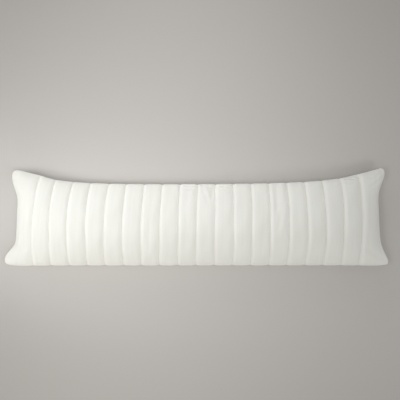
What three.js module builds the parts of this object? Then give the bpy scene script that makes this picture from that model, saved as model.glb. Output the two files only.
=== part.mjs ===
// Long throw pillow with an upright-channelled velvet front, lying on its back.
// Millimetres, +Z up. X runs along the pillow and +Y points at its upper long edge.
// The origin is on the surface it lies on, under the middle of its outline.
import * as THREE from "three";

// Driving dimensions of the outline
const LENGTH = 1200; // nominal, between the tips of the lower ears
const WIDTH = 308; // nominal, from the lower edge to the tips of the upper ears
const WAIST_LEFT = 559; // middle row of stitching to the left end, halfway up
const WAIST_RIGHT = 576; // middle row of stitching to the right end, halfway up
const END_LEAN = 10.2; // how far both ends lean out at their lower corners
const LOWER_DRAW = 7.5; // how far the lower edge is drawn in between its ears
const UPPER_DRAW = 49.4; // how far the upper edge is drawn in between its ears
const TIP_RUN = 13; // how far along the edges the turned tips are rounded
const TIP_POWER = 1.2; // 1 rounds a tip off evenly, and more keeps its corner
const EDGE = 4; // thickness of the closing seam, two turned layers of velvet

// Driving dimensions of the stuffing
const THICKNESS = 130; // from the surface it lies on to the fullest channel
const SEAM_HEIGHT = 52; // closing seam over the surface it lies on
const EAR_DROP = 9; // how much lower the ears hang than the rest of the seam
const EAR_DROP_RUN = 90; // how far from a tip that drop reaches
const ARC = THREE.MathUtils.degToRad(59); // half angle of the arc across a face
const END_FULLNESS = 6; // how far along the pillow its fullness holds before the ends
const END_ROUND = 0.7; // how roundly it drops there
const FOOT = 0.35; // share of the back's depth that is pressed flat
const BACK_ROUND = 1.6; // how roundly the back rises from its flat foot to the closing seam

// Driving dimensions of the channels sewn across the front
const CHANNELS = 20;
const CHANNEL_PITCH = 57; // from one row of stitching to the next
const ROW_FAN = 0.013; // share by which the rows draw together from the middle to the upper edge
const ROW_BOW = 0.0151; // share by which they draw together at both edges
const ROW_SHIFT = 1.1; // how far they all lie to the right
const ROW_LEAN = 5.2; // how far they lean to the right at the upper edge
const FIRST_ROW_SHIFT = 4.5; // how much further right the first row at the left end is, halfway up
const FIRST_ROW_RUN = 0.7; // how many channels that reaches to both sides
const CHANNEL_PUFF = 6.5; // how far a channel stands over its stitching
const CHANNEL_FLATNESS = 3.2; // 2 is a plain round across a channel, and more is flatter on top
const PUFF_AT_EDGE = 0.8; // share of that puff which is left near the closing seam
const PUFF_STEEPNESS = 5; // how steeply it starts from the closing seam
const SCALLOP = 2.4; // how far each channel pushes the long edges out
const SCALLOP_FADE = 4; // how far along the pillow the scallops hold before the ears
const CROWN = THICKNESS - SEAM_HEIGHT - EDGE / 2 - CHANNEL_PUFF; // front face over its seam

// Facets
const COLUMNS_PER_CHANNEL = 6;
const ROWS = 16;
const COLUMNS = CHANNELS * COLUMNS_PER_CHANNEL;

// The four corner ears. reach is how far a tip stands out past the waist and rise how far it
// stands past the long edge. Each is a size, a run over which it fades along its edge, and a power:
// 1 makes a pointed ear and a higher one a blunt nose. round is how far the turned tip is rounded.
const EARS = [
  { end: -1, edge: +1, reach: [23.8, 76, 3.7], rise: [61.5, 85, 0.9], round: 14.5 },
  { end: +1, edge: +1, reach: [27.5, 67, 2.9], rise: [68.5, 91, 0.77], round: 15 },
  { end: -1, edge: -1, reach: [36, 56, 3.6], rise: [6.5, 90, 1], round: 9.5 },
  { end: +1, edge: -1, reach: [27.2, 48, 2.1], rise: [6.5, 90, 1], round: 7.5 },
];

// No two channels are stuffed alike: two waves along the pillow, out of step with the channels.
const STUFFING_WAVES = [
  { share: 0.1, turn: 2.4, start: 0 },
  { share: 0.06, turn: 5.1, start: 1 },
];

const { clamp, lerp } = THREE.MathUtils;
const fade = (distance, run, power) => Math.exp(-((distance / run) ** power));

// How far up the outline a point v across the cloth is, from -1 at the lower edge to +1.
const outlineHeight = (v) => Math.sin(ARC * v) / Math.sin(ARC);

// Outline of one end at a height from -1 at the lower edge to +1 at the upper one.
function endX(end, height) {
  const waist = end < 0 ? WAIST_LEFT : WAIST_RIGHT;
  const toTip = (ear) => ((1 - ear.edge * height) * WIDTH) / 2;
  const flare = (ear) => ear.reach[0] * fade(toTip(ear), ear.reach[1], ear.reach[2]);
  const ears = EARS.filter((ear) => ear.end === end);
  return end * ears.reduce((sum, ear) => sum + flare(ear), waist - END_LEAN * height);
}

// Outline of one long edge at a place s, from -1 at the left end to +1 at the right one.
function edgeY(edge, s) {
  const drawn = edge > 0 ? UPPER_DRAW : LOWER_DRAW;
  const toTip = (ear) => ((1 - ear.end * s) * LENGTH) / 2;
  const flare = (ear) => ear.rise[0] * fade(toTip(ear), ear.rise[1], ear.rise[2]);
  const ears = EARS.filter((ear) => ear.edge === edge);
  return edge * ears.reduce((sum, ear) => sum + flare(ear), WIDTH / 2 - drawn);
}

// Where a row of stitching lies along the pillow, counted in channels from the middle row.
function rowX(row, v) {
  const pitch = CHANNEL_PITCH * (1 - ROW_FAN * v - ROW_BOW * v ** 2);
  const astray = FIRST_ROW_SHIFT * (1 + v) * fade(Math.abs(row + CHANNELS / 2 - 1), FIRST_ROW_RUN, 2);
  return row * pitch + ROW_SHIFT + ROW_LEAN * ((1 + v) / 2) ** 2 + astray;
}

// The same for any point of the cloth: the two end channels fill what is left out to the outline.
function clothX(s, v) {
  const row = (s * CHANNELS) / 2;
  const lastRow = CHANNELS / 2 - 1;
  const past = Math.abs(row) - lastRow;
  if (past <= 0) return rowX(row, v);
  const end = Math.sign(row);
  return lerp(rowX(end * lastRow, v), endX(end, outlineHeight(v)), past);
}

// Puff of the channel at a place s: 0 at its two rows of stitching, about 1 along its middle.
function channelPuff(s) {
  const station = ((s + 1) * CHANNELS) / 2;
  const channel = clamp(Math.floor(station), 0, CHANNELS - 1);
  const fromMiddle = Math.abs(2 * (station - channel) - 1);
  const wave = ({ share, turn, start }) => share * Math.sin(turn * channel + start);
  const stuffing = STUFFING_WAVES.reduce((sum, each) => sum + wave(each), 1);
  return stuffing * (1 - fromMiddle ** CHANNEL_FLATNESS);
}

// Fullness of the stuffing: 1 along the middle of the pillow and 0 at its closing seam.
const fullAlong = (s) => (1 - Math.abs(s) ** END_FULLNESS) ** END_ROUND;
const fullAcross = (v) => (Math.cos(ARC * v) - Math.cos(ARC)) / (1 - Math.cos(ARC));

// A point of the front or the back face. s runs along the pillow and v across it.
function clothPoint(s, v, isFront) {
  const puff = channelPuff(s);
  const scallop = SCALLOP * puff * (1 - Math.abs(s) ** SCALLOP_FADE);
  const height = outlineHeight(v);
  const x = clothX(s, v);
  const y = lerp(edgeY(-1, s) - scallop, edgeY(+1, s) + scallop, (height + 1) / 2);

  const toCorner = Math.hypot(((1 - Math.abs(s)) * LENGTH) / 2, ((1 - Math.abs(height)) * WIDTH) / 2);
  const nearest = EARS.find((ear) => ear.end === Math.sign(s) && ear.edge === Math.sign(v));
  const rounding = nearest ? nearest.round * fade(toCorner, TIP_RUN, TIP_POWER) : 0;
  const seamZ = SEAM_HEIGHT - EAR_DROP * fade(toCorner, EAR_DROP_RUN, 1);
  const full = fullAlong(s) * fullAcross(v);

  const point = new THREE.Vector3(x - Math.sign(s) * rounding, y - Math.sign(v) * rounding, 0);
  if (isFront) {
    const puffShare = lerp(PUFF_AT_EDGE, 1, fullAcross(v)) * Math.min(1, full * PUFF_STEEPNESS);
    point.z = seamZ + EDGE / 2 + CROWN * full + CHANNEL_PUFF * puff * puffShare;
  } else {
    const offFoot = clamp((1 - full - FOOT) / (1 - FOOT), 0, 1);
    point.z = (seamZ - EDGE / 2) * offFoot ** BACK_ROUND;
  }
  return point;
}

// One closed skin: the two faces as grids, joined all round by the thickness of the seam.
function pillowGeometry() {
  const positions = [];
  const index = [];
  const vertexAt = (side, i, j) => (side * (COLUMNS + 1) + i) * (ROWS + 1) + j;
  const front = (i, j) => vertexAt(0, i, j);
  const back = (i, j) => vertexAt(1, i, j);
  const quad = (a, b, c, d) => index.push(a, b, c, a, c, d);

  for (const isFront of [true, false]) {
    for (let i = 0; i <= COLUMNS; i++) {
      for (let j = 0; j <= ROWS; j++) {
        const point = clothPoint((2 * i) / COLUMNS - 1, (2 * j) / ROWS - 1, isFront);
        positions.push(point.x, point.y, point.z);
      }
    }
  }

  for (let i = 0; i < COLUMNS; i++) {
    for (let j = 0; j < ROWS; j++) {
      quad(front(i, j), front(i + 1, j), front(i + 1, j + 1), front(i, j + 1));
      quad(back(i, j), back(i, j + 1), back(i + 1, j + 1), back(i + 1, j));
    }
    quad(back(i, 0), back(i + 1, 0), front(i + 1, 0), front(i, 0));
    quad(front(i, ROWS), front(i + 1, ROWS), back(i + 1, ROWS), back(i, ROWS));
  }
  for (let j = 0; j < ROWS; j++) {
    quad(front(0, j), front(0, j + 1), back(0, j + 1), back(0, j));
    quad(back(COLUMNS, j), back(COLUMNS, j + 1), front(COLUMNS, j + 1), front(COLUMNS, j));
  }

  const geometry = new THREE.BufferGeometry();
  geometry.setAttribute("position", new THREE.Float32BufferAttribute(positions, 3));
  geometry.setIndex(index);
  geometry.computeBoundingBox();
  const middle = geometry.boundingBox.getCenter(new THREE.Vector3());
  geometry.translate(-middle.x, -middle.y, 0);
  geometry.computeVertexNormals();
  return geometry;
}

const velvet = new THREE.MeshStandardMaterial({ color: 0xf1efe6, roughness: 0.92, metalness: 0 });
const pillow = new THREE.Mesh(pillowGeometry(), velvet);
pillow.name = "pillow";

const part = new THREE.Group();
part.add(pillow);

export default part;
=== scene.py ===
import bpy
import numpy as np
from mathutils import Matrix, Vector


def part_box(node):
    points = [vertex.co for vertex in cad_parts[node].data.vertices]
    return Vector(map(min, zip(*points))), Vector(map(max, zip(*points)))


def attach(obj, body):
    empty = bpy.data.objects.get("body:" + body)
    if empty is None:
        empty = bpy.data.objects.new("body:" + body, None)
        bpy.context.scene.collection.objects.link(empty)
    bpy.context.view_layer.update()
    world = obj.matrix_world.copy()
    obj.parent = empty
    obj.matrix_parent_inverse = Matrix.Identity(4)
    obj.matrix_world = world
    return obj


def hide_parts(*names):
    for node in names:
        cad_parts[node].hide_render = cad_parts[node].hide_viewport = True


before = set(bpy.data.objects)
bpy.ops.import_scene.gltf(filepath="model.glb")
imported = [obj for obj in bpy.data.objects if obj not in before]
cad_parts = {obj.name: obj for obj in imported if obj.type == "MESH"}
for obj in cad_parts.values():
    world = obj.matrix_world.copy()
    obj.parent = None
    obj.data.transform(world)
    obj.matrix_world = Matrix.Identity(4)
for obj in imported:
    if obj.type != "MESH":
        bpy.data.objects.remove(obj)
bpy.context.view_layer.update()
low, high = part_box("pillow")
print("frame loaded, pillow of", [round(side, 4) for side in high - low], "m")

scene = bpy.context.scene
random = np.random.default_rng(48)


# Outline. Metres, X along the pillow, +Y to its upper long edge, +Z out of its channelled front.
# s runs from -1 at the left end to +1 at the right one, v from -1 at the lower edge to +1.
outline = {
    "length": 1.2,  # nominal, between the tips of the lower ears
    "width": 0.308,  # nominal, from the lower edge to the tips of the upper ears
    "waist": {-1: 0.559, 1: 0.576},  # middle row of stitching to each end, halfway up
    "endLean": 0.0102,  # how far both ends lean out at their lower corners
    "draw": {-1: 0.0075, 1: 0.0494},  # how far each long edge is drawn in between its ears
    "tipRun": 0.013,  # how far along the edges the turned tips are rounded
    "tipPower": 1.2,
    "ears": [
        {"end": -1, "edge": 1, "reach": (0.0238, 0.076, 3.7), "rise": (0.0615, 0.085, 0.9), "round": 0.0145},
        {"end": 1, "edge": 1, "reach": (0.0275, 0.067, 2.9), "rise": (0.0685, 0.091, 0.77), "round": 0.0150},
        {"end": -1, "edge": -1, "reach": (0.0360, 0.056, 3.6), "rise": (0.0065, 0.09, 1), "round": 0.0080},
        {"end": 1, "edge": -1, "reach": (0.0272, 0.048, 2.1), "rise": (0.0065, 0.09, 1), "round": 0.0060},
    ],  # reach past the waist and rise past the long edge: size, run along the edge, power
}

# Stuffing of the two faces
stuffing = {
    "seamHeight": 0.052,  # closing seam over the floor
    "seamThickness": 0.004,  # two turned layers of velvet
    "seamGroove": 0.0022,  # how deep the closing seam sits between its two turned edges
    "earDrop": 0.009,  # how much lower the ears hang
    "earDropRun": 0.09,
    "crown": 0.0695,  # front face over its seam, without the channels
    "arc": np.radians(59),  # half angle of the arc across a face
    "endFullness": 6,  # how far along the fullness holds before the ends
    "endRound": 0.7,
    "foot": 0.35,  # share of the back's depth that is pressed flat
    "backRound": 1.6,
}

# Channels sewn across the front
channels = {
    "count": 20,
    "pitch": 0.057,  # from one row of stitching to the next
    "cut": 0.061,  # the same on the flat cloth
    "cutWidth": 0.305,  # lower to upper edge on the flat cloth
    "fan": 0.0130,  # share by which the rows draw together at the upper edge
    "bow": 0.0151,  # share by which they draw together at both edges
    "shift": 0.0011,  # how far they all lie to the right
    "firstShift": 0.0045,  # how much further right the first row at the left end is, halfway up
    "firstRun": 0.7,  # how many channels that reaches to both sides
    "lean": 0.0052,  # how far they lean to the right at the upper edge
    "wander": 0.0009,  # how far a row strays from its chalk line
    "wanderTurns": (2.2, 6),  # its slow and its quick wave, in radians from the middle to an edge
    "puff": 0.0070,  # how far a channel stands over its stitching
    "flatness": (5.8, 5.0),  # left and right half of a channel: 2 is round, more has a steeper flank
    "edgeShare": {-1: 0.75, 1: 1.1},  # share of the puff left near the lower and the upper edge
    "edgeRun": 0.010,  # how far from the closing seam the puff starts
    "edgePower": 1.5,
    "scallop": 0.0024,  # how far each channel pushes the long edges out
    "scallopFlatness": 6,
    "scallopFade": 4,  # how far along the pillow the scallops hold before the ears
    "uneven": 0.09,  # how differently the channels are stuffed
    "swellTurns": (2.6, 1.3),  # waves of that along a channel, in radians from the middle to an edge
    "crispness": 0.7,  # how crisp the subdivision leaves the rows of stitching
    "columns": 10,  # grid columns in a channel
    "bunch": 1.7,  # how closely they bunch up at the stitching
    "rows": 56,  # grid rows across a face
    "rowBunch": 0.35,  # how closely those bunch up at the closing seam
}

# Unevenness of the filling under the cloth, as waves: their height, how many, and the range of their
# turns along and across the pillow, in radians a metre
lumpWaves = {"height": 0.0004, "number": 7, "along": (30, 130), "across": (-70, 70), "flatness": 4}
ribWaves = {"height": 0.00014, "number": 3, "along": (130, 260), "across": (-14, 14)}


def fade(distance, run, power):
    # 1 at no distance, falling away as exp(-(distance / run) ^ power)
    return np.exp(-((np.abs(distance) / run) ** power))


def mixed(first, second, share):
    return first + (second - first) * share


def endX(end, height):
    # an end's outline: its waist, leaning, plus the reach of its two ears fading from their tips
    x = outline["waist"][end] - outline["endLean"] * height
    for ear in (ear for ear in outline["ears"] if ear["end"] == end):
        reach, run, power = ear["reach"]
        x = x + reach * fade((1 - ear["edge"] * height) * outline["width"] / 2, run, power)
    return end * x


def edgeY(edge, s):
    # a long edge's outline: half the width less its draw, plus the rise of its two ears
    y = outline["width"] / 2 - outline["draw"][edge]
    for ear in (ear for ear in outline["ears"] if ear["edge"] == edge):
        rise, run, power = ear["rise"]
        y = y + rise * fade((1 - ear["end"] * s) * outline["length"] / 2, run, power)
    return edge * y


def rowX(row, v):
    # a row of stitching, counted from the middle one: pitch times row, fanned, bowed, shifted and leaning
    pitch = channels["pitch"] * (1 - channels["fan"] * v - channels["bow"] * v ** 2)
    return row * pitch + channels["shift"] + channels["lean"] * ((1 + v) / 2) ** 2


def arcHeight(v):
    # how far up the outline v is, -1 to 1: the sine of its place on the arc across a face
    return np.sin(stuffing["arc"] * v) / np.sin(stuffing["arc"])


def clothX(s, v):
    # rows of stitching up to the last, then straight on from it to the end's outline
    row = s * channels["count"] / 2
    lastRow = channels["count"] / 2 - 1
    past = np.clip(np.abs(row) - lastRow, 0, 1)
    inner = rowX(np.clip(row, -lastRow, lastRow), v)
    inner = inner + channels["firstShift"] * (1 + v) * fade(row + lastRow, channels["firstRun"], 2)
    outer = np.where(s < 0, endX(-1, arcHeight(v)), endX(1, arcHeight(v)))
    return mixed(inner, outer, past)


def fullAlong(s):
    return (1 - np.abs(s) ** stuffing["endFullness"]) ** stuffing["endRound"]


def fullAcross(v):
    # an arc's height over its chord, 1 in the middle and 0 at both edges
    flat = np.cos(stuffing["arc"])
    return (np.cos(stuffing["arc"] * v) - flat) / (1 - flat)


def unit(vectors):
    return vectors / np.linalg.norm(vectors, axis=-1, keepdims=True)


def normalsOf(points):
    # unit cross product of the grid's two directions
    return unit(np.cross(np.gradient(points, axis=0), np.gradient(points, axis=1)))


# Grid lines: columns bunch up at the rows of stitching, rows at the closing seam.
count = channels["count"]
place = 2 * np.arange(channels["columns"]) / channels["columns"] - 1
withinChannel = (1 + np.sign(place) * (1 - (1 - np.abs(place)) ** channels["bunch"])) / 2
station = np.append((np.arange(count)[:, None] + withinChannel).ravel(), count)
place = 2 * np.arange(channels["rows"] + 1) / channels["rows"] - 1
v = (place * (1 + channels["rowBunch"]) - channels["rowBunch"] * place ** 3)[None, :]
s = (2 * station / count - 1)[:, None]
channel = np.minimum(station.astype(int), count - 1)[:, None]
share = station[:, None] - channel  # place across the channel, 0 to 1
across = np.abs(2 * share - 1)  # 0 along a channel's middle, 1 at its stitching
full = fullAlong(s) * fullAcross(v)
gridShape = full.shape
gridSize = full.size
flatX = station[:, None] * channels["cut"] + 0 * v  # the same points on the flat cut cloth
flatY = v * channels["cutWidth"] / 2 + 0 * s
toLongEdge = (1 - np.abs(v)) * channels["cutWidth"] / 2
toEnd = np.minimum(flatX, count * channels["cut"] - flatX)
toEdge = np.minimum(toLongEdge, toEnd)  # distance from the closing seam on the flat cloth
toCorner = np.hypot((1 - np.abs(s)) * outline["length"] / 2,
                    (1 - np.abs(arcHeight(v))) * outline["width"] / 2)
seamZ = stuffing["seamHeight"] - stuffing["earDrop"] * fade(toCorner, stuffing["earDropRun"], 1)

# No two channels are stuffed alike, and none evenly along its length.
fill = 1 + channels["uneven"] * random.uniform(-1, 1, (count, 1))
swell = random.uniform(0, 2 * np.pi, (count, 2))
quick, slow = channels["swellTurns"]
fill = fill + channels["uneven"] / 2 * np.sin(quick * v + swell[:, :1]) * np.sin(slow * v + swell[:, 1:])
flatness = np.where(share < 0.5, *channels["flatness"])
puff = fill[channel[:, 0]] * (1 - across ** flatness)
lumps = np.zeros(gridShape)
turnsX = random.uniform(*lumpWaves["along"], lumpWaves["number"])
turnsY = random.uniform(*lumpWaves["across"], lumpWaves["number"])
starts = random.uniform(0, 6.28, lumpWaves["number"])
for turnX, turnY, start in zip(turnsX, turnsY, starts):
    lumps = lumps + lumpWaves["height"] * np.sin(turnX * flatX + turnY * flatY + start)

# Each row of stitching strays a little; the cloth between two rows follows both.
phase = random.uniform(0, 2 * np.pi, (count + 1, 2))
slow, quick = channels["wanderTurns"]
stray = channels["wander"] * (np.sin(slow * v + phase[:, :1]) + 0.5 * np.sin(quick * v + phase[:, 1:]))
stray[[0, -1]] = 0  # the two ends are the closing seam
stray = mixed(stray[channel[:, 0]], stray[channel[:, 0] + 1], share)


def tipRounding():
    # the nearest ear's rounding, fading from its tip
    size = 0
    for ear in outline["ears"]:
        size = size + ear["round"] * ((np.sign(s) == ear["end"]) & (np.sign(v) == ear["edge"]))
    return size * fade(toCorner, outline["tipRun"], outline["tipPower"])


def faceOutline():
    # x and y of both faces: cloth across, an arc's sine from the lower to the upper edge
    scallop = channels["scallop"] * (1 - across ** channels["scallopFlatness"])
    scallop = scallop * (1 - s ** channels["scallopFade"])
    rounding = tipRounding()
    x = clothX(s, v) + stray - np.sign(s) * rounding
    y = mixed(edgeY(-1, s) - scallop, edgeY(1, s) + scallop, (arcHeight(v) + 1) / 2)
    return x, y - np.sign(v) * rounding


def frontPoints():
    # crowned face, with each channel's puff along its normals
    x, y = faceOutline()
    crowned = np.stack([x, y, seamZ + stuffing["seamThickness"] / 2 + stuffing["crown"] * full], axis=2)
    edgeShare = np.where(v < 0, channels["edgeShare"][-1], channels["edgeShare"][1])
    height = channels["puff"] * puff * mixed(edgeShare, 1, fullAcross(v))
    height = height + lumps * (1 - across ** lumpWaves["flatness"])
    height = height * (1 - fade(toEdge, channels["edgeRun"], channels["edgePower"]))
    return crowned + normalsOf(crowned) * height[:, :, None]


def backPoints():
    # flat foot, rising round to the closing seam
    x, y = faceOutline()
    offFoot = np.clip((1 - full - stuffing["foot"]) / (1 - stuffing["foot"]), 0, 1)
    z = (seamZ - stuffing["seamThickness"] / 2) * offFoot ** stuffing["backRound"]
    return np.stack([x, y, z], axis=2)


def ringOf(grid):
    # the grid's border once round, counter-clockwise seen from the front
    return np.concatenate([grid[:-1, 0], grid[-1, :-1], grid[:0:-1, -1], grid[0, :0:-1]])


def quadsOf(grid):
    return np.stack([grid[:-1, :-1], grid[1:, :-1], grid[1:, 1:], grid[:-1, 1:]], axis=2).reshape(-1, 4)


def stripOf(lower, upper):
    # quads between two closed rings
    return np.stack([lower, np.roll(lower, -1), np.roll(upper, -1), upper], axis=1)


frontGrid = np.arange(gridSize).reshape(gridShape)
backGrid = frontGrid + gridSize
seamRing = 2 * gridSize + np.arange(len(ringOf(frontGrid)))


def coverFaces():
    # the front grid, the back grid turned over, and the closing seam's two turned edges
    return np.concatenate([quadsOf(frontGrid), quadsOf(backGrid)[:, ::-1],
                           stripOf(seamRing, ringOf(frontGrid)), stripOf(ringOf(backGrid), seamRing)])


def coverPoints():
    # both faces, and between their borders the closing seam's line, drawn in
    front, back = frontPoints(), backPoints()
    middle = (ringOf(front) + ringOf(back)) / 2
    around = np.roll(middle, -1, axis=0) - np.roll(middle, 1, axis=0)
    inward = unit(np.stack([-around[:, 1], around[:, 0], 0 * around[:, 0]], axis=1))
    seam = middle + stuffing["seamGroove"] * inward
    points = np.concatenate([front.reshape(-1, 3), back.reshape(-1, 3), seam])
    shift = [(low[axis] + high[axis] - points[:, axis].min() - points[:, axis].max()) / 2
             for axis in (0, 1)]
    return points + np.array([*shift, 0])  # its middle over the solid's


def meshPiece(name, points, faces):
    mesh = bpy.data.meshes.new(name)
    mesh.from_pydata(points, [], faces)
    mesh.update()
    piece = bpy.data.objects.new(name, mesh)
    scene.collection.objects.link(piece)
    mesh.polygons.foreach_set("use_smooth", np.ones(len(mesh.polygons), dtype=bool))
    return piece


points = coverPoints()
cover = meshPiece("velvet_cover", points, coverFaces().tolist())
print("cover laid out:", len(points), "points,", len(cover.data.polygons), "quads")

# Settling: the sewn cover as cloth, pressed outwards by its filling
settling = {
    "frames": 20,
    "quality": 6,  # steps in a frame
    "pressure": 4.0,
    "mass": 0.02,
    "stiffness": 12,
    "shear": 4,
    "bending": 0.5,
    "hold": 0.1,  # how firmly the filling holds the loose cloth
    "slack": 0.0015,  # share by which the cut cloth is longer than the sewn form
    "topSlack": 0.02,  # the same where it is gathered at the upper ends of the channels
    "topRun": 0.35,  # how far down from the upper edge that reaches, in v
    "tops": {8: 0.7, 10: 1, 11: 1, 12: 0.9, 19: 0.9},  # channels that pucker most there
    "otherTops": 0.3,
    "cap": 0.006,  # furthest that a point may move
    "onFloor": 0.0005,  # the back lies on the floor where it is lower than this
}


def heldWeights():
    # 1 where the cloth is sewn or lies on the floor, less where only the filling holds it
    front = np.full(gridShape, settling["hold"])
    front[::channels["columns"]] = 1
    lying = points[gridSize:2 * gridSize, 2] < settling["onFloor"]
    back = np.where(lying, 1, settling["hold"]).reshape(gridShape)
    for face in (front, back):
        face[[0, -1]] = 1
        face[:, [0, -1]] = 1
    return np.concatenate([front.ravel(), back.ravel(), np.ones(len(seamRing))])


def tightness():
    # 1 where the cut cloth has no more than its usual slack, 0 where most of it is gathered
    gathered = np.full((count, 1), settling["otherTops"])
    for number, amount in settling["tops"].items():
        gathered[number - 1] = amount
    gathered = gathered[channel[:, 0]] * fade(1 - v, settling["topRun"], 2)
    return np.concatenate([1 - gathered.ravel(), np.ones(gridSize + len(seamRing))])


def addWeights(piece, name, weights):
    # a vertex group, its weights rounded so that each is added once
    group = piece.vertex_groups.new(name=name)
    rounded = np.round(weights, 2)
    for weight in np.unique(rounded):
        group.add(np.flatnonzero(rounded == weight).tolist(), float(weight), "REPLACE")


def settled(piece, start):
    # cloth simulation from the sewn form; surplus cloth buckles into puckers
    addWeights(piece, "held", heldWeights())
    addWeights(piece, "tight", tightness())
    cloth = piece.modifiers.new("settling", "CLOTH")
    cloth.settings.quality = settling["quality"]
    cloth.settings.mass = settling["mass"]
    cloth.settings.tension_stiffness = settling["stiffness"]
    cloth.settings.compression_stiffness = settling["stiffness"]
    cloth.settings.shear_stiffness = settling["shear"]
    cloth.settings.bending_stiffness = settling["bending"]
    cloth.settings.shrink_min = -settling["topSlack"]
    cloth.settings.shrink_max = -settling["slack"]
    cloth.settings.vertex_group_shrink = "tight"
    cloth.settings.use_pressure = True
    cloth.settings.uniform_pressure_force = settling["pressure"]
    cloth.settings.vertex_group_mass = "held"
    cloth.settings.effector_weights.gravity = 0
    cloth.collision_settings.use_collision = False
    cloth.collision_settings.use_self_collision = False
    for number in range(1, settling["frames"] + 1):
        scene.frame_set(number)
    moved = np.empty(start.size)
    piece.evaluated_get(bpy.context.evaluated_depsgraph_get()).data.vertices.foreach_get("co", moved)
    piece.modifiers.remove(cloth)
    piece.vertex_groups.clear()
    scene.frame_set(1)
    step = moved.reshape(-1, 3) - start
    size = np.linalg.norm(step, axis=1, keepdims=True)
    furthest, mean = (round(1000 * float(move), 2) for move in (size.max(), size.mean()))
    print("settled: furthest move", furthest, "mm, mean", mean, "mm")
    result = start + step * np.minimum(1, settling["cap"] / np.maximum(size, 1e-9))
    result[:, 2] = np.maximum(result[:, 2], 0)
    return result


points = settled(cover, points)

cover.data.vertices.foreach_set("co", points.ravel())
cover.data.update()


def addUv(piece, name, places):
    # the same place on the map for every corner that meets at a point
    mesh = piece.data
    corners = np.empty(len(mesh.loops), dtype=np.int32)
    mesh.loops.foreach_get("vertex_index", corners)
    mesh.uv_layers.new(name=name).data.foreach_set("uv", places[corners].ravel())


def addAttribute(piece, name, values, domain="POINT"):
    piece.data.attributes.new(name, "FLOAT", domain).data.foreach_set("value", values.ravel())


def takeAttribute(piece, name):
    # values of an attribute, which then leaves the mesh
    attribute = piece.data.attributes[name]
    values = np.empty(len(attribute.data))
    attribute.data.foreach_get("value", values)
    piece.data.attributes.remove(attribute)
    return values


def onCover(front, back, seam):
    # values for the front, the back and the closing seam, in the order of the cover's points
    return np.concatenate([front.reshape(gridSize, -1), back.reshape(gridSize, -1),
                           seam.reshape(len(seamRing), -1)])


noFace = np.zeros(gridShape)
noSeam = np.zeros(len(seamRing))

# Flat-cut map, and distance from the nearest stitching, which sets where the painted shade in the creases
# falls
flatPlaces = np.stack([flatX, flatY], axis=2)
addUv(cover, "flatCut", onCover(flatPlaces, flatPlaces, ringOf(flatPlaces)))
toRow = np.minimum(share, 1 - share) * channels["cut"] + 0 * v
addAttribute(cover, "fromSeam", onCover(np.minimum(toRow, toEdge), toEdge, noSeam))

# Painted highlight: a lighter band on the right of each row of stitching, where that flank faces the light
# from the left.
paintedHighlightBand = {
    "off": 0.0058,  # where the painted highlight is brightest, from the row
    "width": 0.0036,
    "fromEdge": 0.006,  # how far from the closing seam it starts
}
paintedHighlight = fade(share * channels["cut"] - paintedHighlightBand["off"], paintedHighlightBand["width"], 2) * (channel > 0)
paintedHighlight = paintedHighlight * (1 - fade(toEdge, paintedHighlightBand["fromEdge"], 2))
addAttribute(cover, "paintedHighlight", onCover(paintedHighlight, noFace, noSeam))

# Crisp edges along the rows of stitching and the closing seam
rowNumber = np.full(len(points), -1)
rowNumber[frontGrid[::channels["columns"]].ravel()] = np.repeat(np.arange(count + 1), gridShape[1])
rowNumber[seamRing] = count + 1
ends = np.empty(2 * len(cover.data.edges), dtype=np.int32)
cover.data.edges.foreach_get("vertices", ends)
endRows = rowNumber[ends.reshape(-1, 2)]
sewnEdge = (endRows[:, 0] == endRows[:, 1]) & (endRows[:, 0] > 0) & (endRows[:, 0] != count)
addAttribute(cover, "crease_edge", np.where(sewnEdge, channels["crispness"], 0.0), "EDGE")

# How folds lie in the cloth
foldForm = {
    "looseFlatness": 8,  # how close to the rows of stitching the cloth is loose
    "looseRun": 0.004,  # how close to the closing seam
    "ridgeShare": 0.6,  # height of the ridge beside a fold, as a share of its depth
    "ridgeOff": 1.8,  # how many widths to its left it stands
}

# What the folds need at every point of the finer cloth: its place when flat, and how loose it is
for name, values in (("flatX", flatX), ("flatY", flatY)):
    addAttribute(cover, name, onCover(values, values, ringOf(values)))
loose = (1 - across ** foldForm["looseFlatness"]) * (1 - fade(toEdge, foldForm["looseRun"], 2))
addAttribute(cover, "loose", onCover(loose, noFace, noSeam))


def subdivided(piece):
    # one level of subdivision, kept as the piece's own mesh
    finer = piece.modifiers.new("finer cloth", "SUBSURF")
    finer.levels = 1
    finer.render_levels = 1
    mesh = bpy.data.meshes.new_from_object(piece.evaluated_get(bpy.context.evaluated_depsgraph_get()))
    piece.modifiers.remove(finer)
    coarse = piece.data
    piece.data = mesh
    mesh.name = piece.name
    bpy.data.meshes.remove(coarse)
    places = np.empty(3 * len(mesh.vertices))
    normals = np.empty(3 * len(mesh.vertices))
    mesh.vertices.foreach_get("co", places)
    mesh.vertex_normals.foreach_get("vector", normals)
    return places.reshape(-1, 3), normals.reshape(-1, 3)


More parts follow.
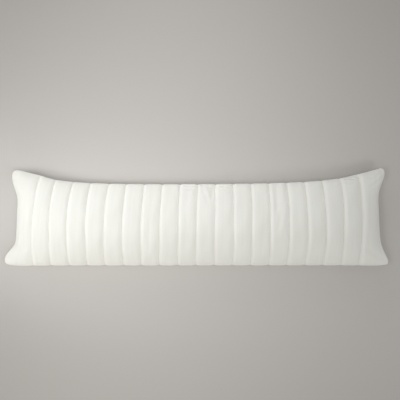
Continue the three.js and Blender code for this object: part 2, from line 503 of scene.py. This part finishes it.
# Folds, dents and puckers that the filled cover shows, from one place to another on the flat cloth:
# channel, counted from 1 at the left end, share across it, and v.
folds = [
    {"from": (8, 0.10, 0.78), "to": (8, 0.46, 0.86), "width": 0.0032, "depth": 0.0020},
    {"from": (8, 0.10, 0.86), "to": (8, 0.40, 0.93), "width": 0.0028, "depth": 0.0018},
    {"from": (8, 0.40, 0.30), "to": (8, 0.44, -0.45), "width": 0.0085, "depth": 0.0014},
    {"from": (10, 0.10, 0.93), "to": (10, 0.50, 0.90), "width": 0.0026, "depth": 0.0018},
    {"from": (10, 0.42, 0.89), "to": (10, 0.94, 0.92), "width": 0.0026, "depth": 0.0019},
    {"from": (10, 0.14, 0.84), "to": (10, 0.60, 0.81), "width": 0.0030, "depth": 0.0021},
    {"from": (10, 0.58, 0.79), "to": (10, 0.92, 0.84), "width": 0.0028, "depth": 0.0016},
    {"from": (10, 0.48, 0.74), "to": (10, 0.40, 0.40), "width": 0.0070, "depth": 0.0014},
    {"from": (11, 0.28, 0.94), "to": (11, 0.32, 0.76), "width": 0.0055, "depth": 0.0026},
    {"from": (11, 0.34, 0.78), "to": (11, 0.58, 0.56), "width": 0.0050, "depth": 0.0024},
    {"from": (11, 0.88, 0.84), "to": (11, 0.80, 0.60), "width": 0.0045, "depth": 0.0016},
    {"from": (11, 0.48, 0.86), "to": (11, 0.94, 0.89), "width": 0.0028, "depth": 0.0018},
    {"from": (12, 0.08, 0.90), "to": (12, 0.48, 0.87), "width": 0.0029, "depth": 0.0020},
    {"from": (12, 0.44, 0.89), "to": (12, 0.88, 0.85), "width": 0.0028, "depth": 0.0017},
    {"from": (12, 0.22, 0.81), "to": (12, 0.70, 0.78), "width": 0.0030, "depth": 0.0016},
    {"from": (15, 0.42, 0.86), "to": (15, 0.40, 0.40), "width": 0.0095, "depth": 0.0050},
    {"from": (15, 0.70, 0.44), "to": (15, 0.46, 0.02), "width": 0.0065, "depth": 0.0018},
    {"from": (19, 0.14, 0.84), "to": (19, 0.64, 0.79), "width": 0.0032, "depth": 0.0032},
    {"from": (19, 0.24, 0.91), "to": (19, 0.74, 0.86), "width": 0.0030, "depth": 0.0030},
    {"from": (20, 0.92, 0.70), "to": (20, 0.52, 0.62), "width": 0.0050, "depth": 0.0016},
    {"from": (20, 0.86, 0.84), "to": (20, 0.40, 0.74), "width": 0.0052, "depth": 0.0014},
    {"from": (1, 0.06, 0.66), "to": (1, 0.50, 0.60), "width": 0.0052, "depth": 0.0013},
    {"from": (1, 0.14, -0.80), "to": (1, 0.66, -0.52), "width": 0.0070, "depth": 0.0018},
    {"from": (20, 0.88, -0.82), "to": (20, 0.40, -0.56), "width": 0.0070, "depth": 0.0018},
]


def foldHeight(fold, flatX, flatY):
    # a valley along a line on the flat cloth, with a lower ridge beside it, fading past both ends
    (x0, y0), (x1, y1) = [((number - 1 + part) * channels["cut"], height * channels["cutWidth"] / 2)
                          for number, part, height in (fold["from"], fold["to"])]
    length = np.hypot(x1 - x0, y1 - y0)
    along = ((flatX - x0) * (x1 - x0) + (flatY - y0) * (y1 - y0)) / length
    off = ((flatY - y0) * (x1 - x0) - (flatX - x0) * (y1 - y0)) / length
    past = along - np.clip(along, 0, length)
    valley = fade(off, fold["width"], 2)
    ridge = fade(off - foldForm["ridgeOff"] * fold["width"], fold["width"], 2)
    height = fold["depth"] * (foldForm["ridgeShare"] * ridge - valley)
    return height * fade(past, 2 * fold["width"], 2)


def ribHeight(flatX, flatY):
    # steep waves along each channel, out of step from one channel to the next
    number = np.minimum((flatX / channels["cut"]).astype(int), count - 1)
    turnsX = random.uniform(*ribWaves["along"], ribWaves["number"])
    turnsY = random.uniform(*ribWaves["across"], ribWaves["number"])
    height = 0
    for turnX, turnY in zip(turnsX, turnsY):
        start = random.uniform(0, 2 * np.pi, count)[number]
        height = height + ribWaves["height"] * np.sin(turnX * flatX + turnY * flatY + start)
    return height


finePoints, fineNormals = subdivided(cover)
fineX, fineY = takeAttribute(cover, "flatX"), takeAttribute(cover, "flatY")
folded = sum(foldHeight(fold, fineX, fineY) for fold in folds) + ribHeight(fineX, fineY)
folded = folded * takeAttribute(cover, "loose")
finePoints = finePoints + fineNormals * folded[:, None]
cover.data.vertices.foreach_set("co", finePoints.ravel())
cover.data.update()
frontCloth = finePoints[:gridSize].reshape(*gridShape, 3)  # subdivision keeps the first points' order
print("folds pressed in:", len(folds), "on", len(finePoints), "points")

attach(cover, "root")
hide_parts("pillow")

# Stitching down in the creases
stitching = {
    "step": 0.0042,  # from one stitch to the next
    "length": 0.0034,
    "radius": 0.0004,
    "shoulder": 0.36,  # where a stitch starts to taper, from its middle, as a share of its length
    "taper": 0.8,  # its radius there, as a share
    "lift": 0.0002,  # over the bottom of the crease
    "arch": 0.0002,  # how much a stitch's middle stands over its ends
    "fromEdge": 0.006,  # first and last stitch from the closing seam
    "sides": 5,
}


def alongRow(gone, values, where):
    # values along a row, at distances from its start
    return np.stack([np.interp(where, gone, values[:, axis]) for axis in range(3)], axis=1)


def stitchPlaces():
    # every stitch's middle, its way along the row and its way up, at even steps along each row
    onRows = slice(channels["columns"], -1, channels["columns"])
    rows, normals = frontCloth[onRows], normalsOf(frontCloth)[onRows]
    steps = np.linalg.norm(np.diff(rows, axis=1), axis=2)
    travelled = np.concatenate([np.zeros((len(rows), 1)), np.cumsum(steps, axis=1)], axis=1)
    half = stitching["length"] / 2
    middles, ways, ups = [], [], []
    for path, normal, gone in zip(rows, normals, travelled):
        at = np.arange(stitching["fromEdge"], gone[-1] - stitching["fromEdge"], stitching["step"])
        middles.append(alongRow(gone, path, at))
        ways.append(unit(alongRow(gone, path, at + half) - alongRow(gone, path, at - half)))
        ups.append(unit(alongRow(gone, normal, at)))
    return [np.concatenate(each)[:, None, :] for each in (middles, ways, ups)]


def stitchPoints():
    # a stitch is a thin round rod of three rings and two tips along its row, arched a little
    middle, way, up = stitchPlaces()
    beside = np.cross(up, way)
    ones = np.ones(stitching["sides"])
    turn = 2 * np.pi * np.arange(stitching["sides"]) / stitching["sides"]
    shoulder = stitching["shoulder"] * ones
    taper = stitching["taper"] * ones
    along = np.concatenate([[-0.5], -shoulder, 0 * ones, shoulder, [0.5]])[None, :, None]
    reach = np.concatenate([[0], taper, ones, taper, [0]])[None, :, None] * stitching["radius"]
    angle = np.concatenate([[0], turn, turn, turn, [0]])[None, :, None]
    lift = stitching["lift"] + stitching["arch"] * (1 - (2 * along) ** 2)
    places = middle + way * along * stitching["length"]
    return places + up * (lift + reach * np.sin(angle)) + beside * reach * np.cos(angle)


def stitchFaces(number, size):
    # two fans of triangles at the tips and two belts of quads between the rings, for every stitch
    sides = stitching["sides"]
    ring = 1 + np.arange(sides)
    after = np.roll(ring, -1)
    firstTip = np.stack([0 * ring, after, ring], axis=1)
    lastTip = np.stack([0 * ring + 3 * sides + 1, ring + 2 * sides, after + 2 * sides], axis=1)
    belt = np.stack([ring, after, after + sides, ring + sides], axis=1)
    first = (size * np.arange(number))[:, None, None]
    tips = first + np.concatenate([firstTip, lastTip])
    belts = first + np.concatenate([belt, belt + sides])
    return tips.reshape(-1, 3).tolist() + belts.reshape(-1, 4).tolist()


rods = stitchPoints()
stitches = meshPiece("channel_stitching", rods.reshape(-1, 3), stitchFaces(*rods.shape[:2]))
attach(stitches, "root")
print("stitching laid in:", len(stitches.data.polygons), "faces")


class Wire:
    # One socket in a material. Sums and products of wires and numbers add Math nodes.
    def __init__(self, tree, socket=None):
        self.tree = tree
        self.socket = socket

    def node(self, kind, settings={}, sockets={}, out=0):
        # any node: its settings first, then values or wires for its sockets
        made = self.tree.nodes.new(kind)
        for name, value in settings.items():
            setattr(made, name, value)
        for name, value in sockets.items():
            if isinstance(value, Wire):
                self.tree.links.new(value.socket, made.inputs[name])
            else:
                made.inputs[name].default_value = value
        return Wire(self.tree, made.outputs[out] if made.outputs else None)

    def math(self, operation, first, second):
        return self.node("ShaderNodeMath", {"operation": operation}, {0: first, 1: second})

    def __add__(self, other):
        return self.math("ADD", self, other)

    def __radd__(self, other):
        return self.math("ADD", other, self)

    def __sub__(self, other):
        return self.math("SUBTRACT", self, other)

    def __rsub__(self, other):
        return self.math("SUBTRACT", other, self)

    def __mul__(self, other):
        return self.math("MULTIPLY", self, other)

    def __rmul__(self, other):
        return self.math("MULTIPLY", other, self)


def newMaterial(name):
    material = bpy.data.materials.new(name)
    material.use_nodes = True
    material.node_tree.nodes.clear()
    return material, Wire(material.node_tree)


def finishMaterial(start, sockets):
    shader = start.node("ShaderNodeBsdfPrincipled", {}, sockets)
    start.node("ShaderNodeOutputMaterial", {}, {"Surface": shader})


def mixColour(start, amount, first, second):
    return start.node("ShaderNodeMix", {"data_type": "RGBA"}, {0: amount, 6: first, 7: second}, 2)


def noise(start, place, size, detail=2):
    return start.node("ShaderNodeTexNoise", {}, {"Vector": place, "Scale": size, "Detail": detail}, 0)


velvet = {
    "light": (0.90, 0.905, 0.865, 1),  # pile stroked towards the light
    "shade": (0.82, 0.825, 0.775, 1),  # pile stroked away from it
    "paintedCreaseShade": (0.74, 0.715, 0.63, 1),  # painted shade, down in the creases and along the closing seam
    # how far from the stitching the painted shade reaches, and how strongly it is mixed in
    "paintedCreaseShadeRun": 0.0045,
    "paintedCreaseShadeShare": 0.13,
    "paintedHighlight": (0.97, 0.97, 0.94, 1),  # painted highlight beside a row of stitching
    "paintedHighlightShare": 0.6,
    "streaks": (120, 9, 1),  # nap streaks a metre, across and along a channel
    "patches": 7,  # stroked patches a metre
    "pile": 900,  # tufts a metre
    "napShares": (0.9, 0.8, 0.5),  # how much streaks, patches and tufts each turn the nap
    "bumpStrength": 0.4,
    "bumpDepth": 0.0005,
    "bumpStreaks": 0.4,  # height of the streaks, as a share of the tufts'
    "roughness": 0.84,
    "roughnessSwing": 0.14,  # how much smoother pile stroked towards the light is
    "sheen": 0.8,
    "sheenRoughness": 0.45,
}


def velvetMaterial():
    # ivory pile: streaks along the channels, broader stroked patches, fine tufts, a painted highlight beside
    # each row of stitching and painted shade in the creases
    material, start = newMaterial("ivory velvet")
    flat = start.node("ShaderNodeUVMap", {"uv_map": "flatCut"})
    solid = start.node("ShaderNodeTexCoord", {}, {}, "Object")
    stretched = start.node("ShaderNodeMapping", {}, {"Vector": flat, "Scale": velvet["streaks"]})
    streak = noise(start, stretched, 1, 3)
    patch = noise(start, solid, velvet["patches"], 2)
    tuft = noise(start, solid, velvet["pile"], 2)
    byStreak, byPatch, byTuft = velvet["napShares"]
    nap = 0.5 + (streak - 0.5) * byStreak + (patch - 0.5) * byPatch + (tuft - 0.5) * byTuft
    fromSeam = start.node("ShaderNodeAttribute", {"attribute_name": "fromSeam"}, {}, "Fac")
    # painted shade: darkest at the rows of stitching and at the closing seam, fading within a few
    # millimetres
    paintedCreaseShade = start.node("ShaderNodeMapRange", {"interpolation_type": "SMOOTHSTEP"}, {
        "Value": fromSeam,
        "From Min": 0,
        "From Max": velvet["paintedCreaseShadeRun"],
        "To Min": velvet["paintedCreaseShadeShare"],
        "To Max": 0,
    })
    colour = mixColour(start, nap, velvet["shade"], velvet["light"])
    # painted highlight: a lighter colour on the flank right of each row of stitching
    paintedHighlight = start.node("ShaderNodeAttribute", {"attribute_name": "paintedHighlight"}, {}, "Fac")
    colour = mixColour(start, paintedHighlight * velvet["paintedHighlightShare"], colour, velvet["paintedHighlight"])
    # the painted shade laid over the colour
    colour = mixColour(start, paintedCreaseShade, colour, velvet["paintedCreaseShade"])
    bump = start.node("ShaderNodeBump", {}, {
        "Strength": velvet["bumpStrength"],
        "Distance": velvet["bumpDepth"],
        "Height": tuft + streak * velvet["bumpStreaks"],
    })
    finishMaterial(start, {
        "Base Color": colour,
        "Roughness": velvet["roughness"] + (0.5 - nap) * velvet["roughnessSwing"],
        "Normal": bump,
        "Sheen Weight": velvet["sheen"],
        "Sheen Roughness": velvet["sheenRoughness"],
    })
    return material


cover.data.materials.append(velvetMaterial())

thread = {
    "light": (0.88, 0.875, 0.82, 1),
    "shade": (0.74, 0.725, 0.66, 1),
    "twist": 2 * np.pi / 0.0008,  # one turn of the two plies
    "slant": (0.8, 1, 0.8),  # which way the stripes between the plies run
    "bumpStrength": 0.5,
    "bumpDepth": 0.0002,
    "roughness": 0.6,
    "roughnessSwing": 0.15,
}


def threadMaterial():
    # two-ply thread: slanted stripes across it, rounded by a bump
    material, start = newMaterial("ivory thread")
    solid = start.node("ShaderNodeTexCoord", {}, {}, "Object")
    slanted = start.node("ShaderNodeVectorMath", {"operation": "DOT_PRODUCT"},
                         {0: solid, 1: thread["slant"]}, "Value")
    ply = start.math("SINE", slanted * thread["twist"], 0) * 0.5 + 0.5
    bump = start.node("ShaderNodeBump", {}, {
        "Strength": thread["bumpStrength"],
        "Distance": thread["bumpDepth"],
        "Height": ply,
    })
    finishMaterial(start, {
        "Base Color": mixColour(start, ply, thread["shade"], thread["light"]),
        "Roughness": thread["roughness"] + ply * thread["roughnessSwing"],
        "Normal": bump,
    })
    return material


stitches.data.materials.append(threadMaterial())
print("velvet and thread mixed")

# Plain pale floor
floor = {"size": 40, "grey": (0.60, 0.58, 0.56, 1), "roughness": 0.7}
half = floor["size"] / 2
floorCorners = [(-half, -half, 0), (half, -half, 0), (half, half, 0), (-half, half, 0)]
floorPiece = meshPiece("floor", floorCorners, [(0, 1, 2, 3)])
floorMaterial, start = newMaterial("pale floor")
finishMaterial(start, {"Base Color": floor["grey"], "Roughness": floor["roughness"]})
floorPiece.data.materials.append(floorMaterial)

# Soft studio light through grids, most of it over the left half and past the two long edges
lights = {
    "over": {
        "place": (-0.3, 0, 1.6), "aim": (-0.25, 0, 0.05), "size": 0.6, "spread": 70, "watts": 1.32},
    "upper": {
        "place": (0, 2.2, 0.55), "aim": (-0.05, 0.1, 0.1), "size": 0.6, "spread": 45, "watts": 0.86},
    "upperLeft": {
        "place": (-1.9, 1.1, 0.7), "aim": (0, 0.02, 0.1), "size": 0.6, "spread": 45, "watts": 0.46},
    "leftEnd": {
        "place": (-1.4, 0, 0.8), "aim": (-0.6, 0, 0.06), "size": 0.4, "spread": 36, "watts": 0.23},
    "lowerRight": {
        "place": (1.4, -0.7, 1.7), "aim": (0.3, 0, 0.1), "size": 0.8, "spread": 70, "watts": 0.8},
    "lower": {
        "place": (-0.7, -2.2, 0.7), "aim": (-0.4, -0.1, 0.05), "size": 0.8, "spread": 60, "watts": 1.03,
        "colour": (1, 0.93, 0.78)},  # warm, as if thrown back by a floor
}
fillLight = {"colour": (1, 0.985, 0.96, 1), "strength": 0.442}  # even and a little warm


def addLight(name, values):
    lamp = bpy.data.lights.new(name, "AREA")
    lamp.shape = "DISK"
    lamp.size = values["size"]
    lamp.spread = np.radians(values["spread"])
    lamp.color = values.get("colour", (1, 1, 1))
    lamp.energy = values["watts"]
    lampObject = bpy.data.objects.new(name, lamp)
    lampObject.location = values["place"]
    way = Vector(values["aim"]) - Vector(values["place"])
    lampObject.rotation_euler = way.to_track_quat("-Z", "Y").to_euler()
    lampObject.visible_camera = False
    scene.collection.objects.link(lampObject)


for name, values in lights.items():
    addLight(name, values)
world = bpy.data.worlds.new("fill")
world.use_nodes = True
world.node_tree.nodes["Background"].inputs["Color"].default_value = fillLight["colour"]
world.node_tree.nodes["Background"].inputs["Strength"].default_value = fillLight["strength"]
scene.world = world
scene.view_settings.view_transform = "Standard"

# Camera at the photograph's angle to the front
view = {
    "tilt": np.radians(7),  # from straight down on the front, towards the upper edge
    "pivot": (0, 0, 0.052),
    "distance": 3.255,  # from the pivot
    "aim": (0.0107, 0.0545, 0.052),
    "lens": 93.5,
    "sensor": 36,
}
camera = bpy.data.cameras.new("camera")
camera.lens = view["lens"]
camera.sensor_width = view["sensor"]
cameraObject = bpy.data.objects.new("camera", camera)
eye = Vector(view["pivot"]) + view["distance"] * Vector((0, np.sin(view["tilt"]), np.cos(view["tilt"])))
cameraObject.location = eye
backward = (eye - Vector(view["aim"])).normalized()
sideways = Vector((0, 1, 0)).cross(backward).normalized()  # +Y is up in the picture
cameraObject.rotation_euler = Matrix((sideways, backward.cross(sideways), backward)).transposed().to_euler()
scene.collection.objects.link(cameraObject)
scene.camera = cameraObject
print("floor, light and camera placed")
